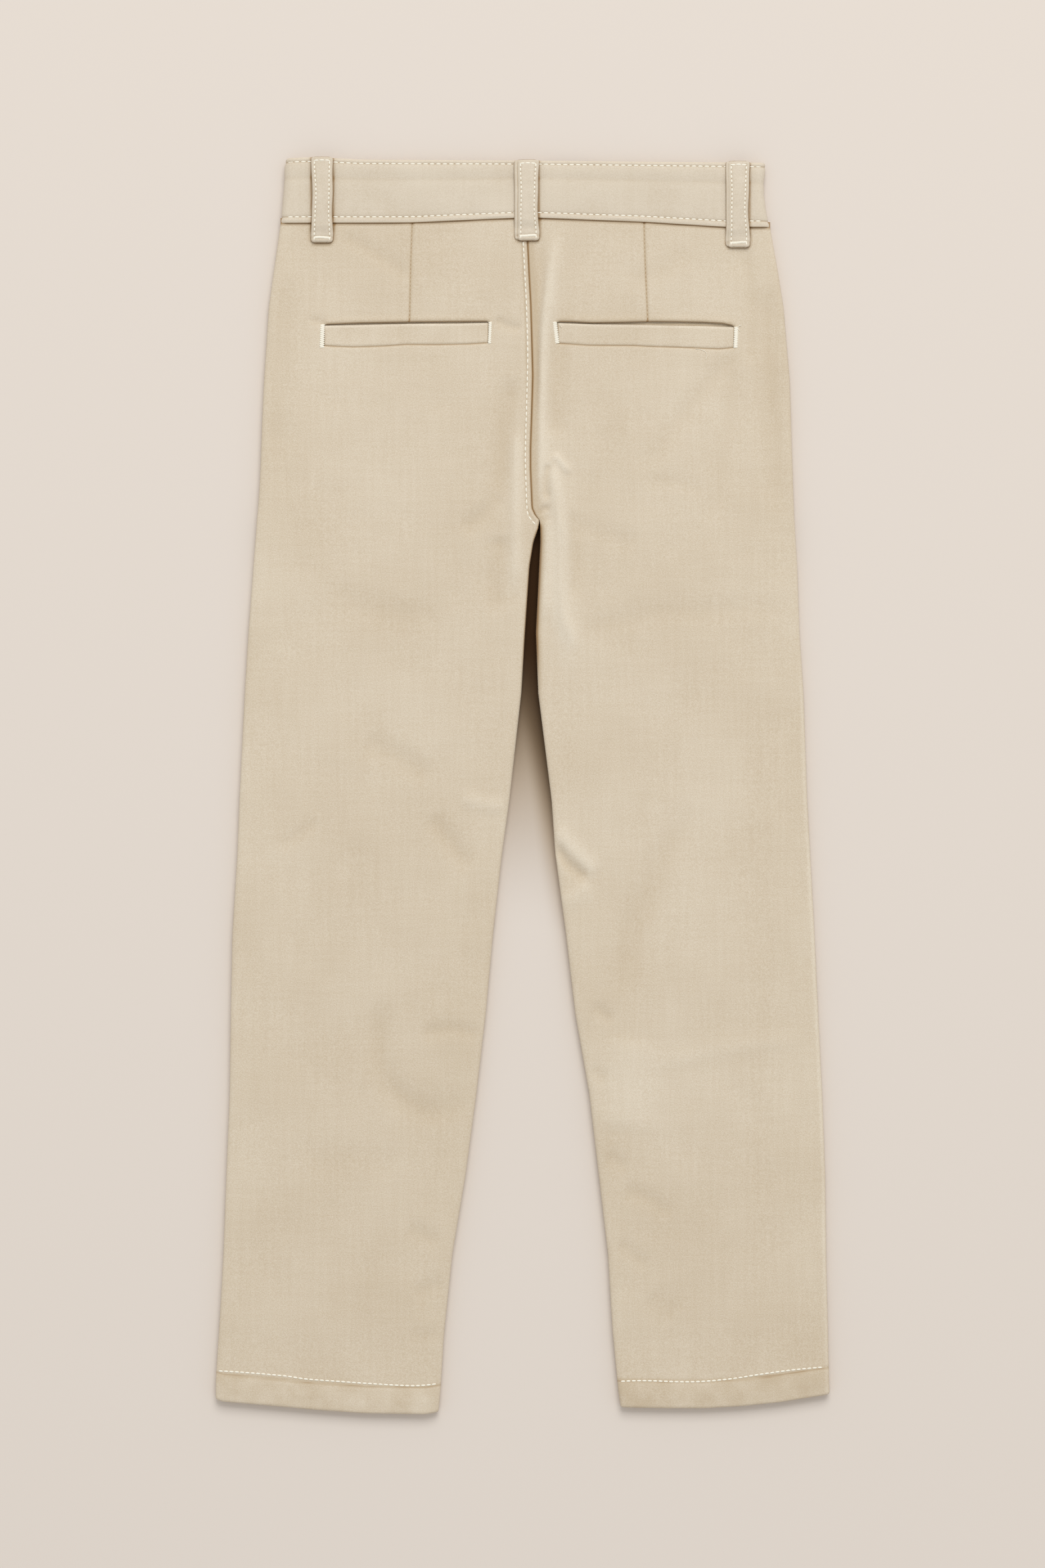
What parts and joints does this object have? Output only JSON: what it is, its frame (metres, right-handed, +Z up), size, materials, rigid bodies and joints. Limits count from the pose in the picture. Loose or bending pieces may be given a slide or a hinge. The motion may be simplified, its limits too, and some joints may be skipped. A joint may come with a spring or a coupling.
{
  "type": "chino trousers, laid flat",
  "caption": "Child's chino trousers laid flat with the back up: waistband with belt loops, welt pockets, seat seam and straight legs.",
  "frame": {"origin": "middle of the garment's footprint, on the surface it lies on", "axes": "+Z up off the surface, +Y from the hems to the waist, +X to the wearer's right; the back faces up"},
  "size_m": [0.3678, 0.7502, 0.0118],
  "materials": {
    "twill": "matte garment-dyed twill",
    "waistband_twill": "matte garment-dyed twill",
    "pocket_lining": "matte",
    "button": "satin horn look"
  },
  "bodies": {
    "root": {"back_left": "twill", "back_right": "twill", "front_left": "twill", "front_right": "twill", "waistband_left": "waistband_twill", "waistband_right": "waistband_twill", "belt_loop_back_left": "waistband_twill", "belt_loop_back_centre": "waistband_twill", "belt_loop_back_right": "waistband_twill", "belt_loop_front_left": "waistband_twill", "belt_loop_front_right": "waistband_twill", "pocket_welt_left": "twill", "pocket_welt_right": "twill", "pocket_facing_left": "pocket_lining", "pocket_facing_right": "pocket_lining", "waist_button": "button"}
  },
  "joints": []
}
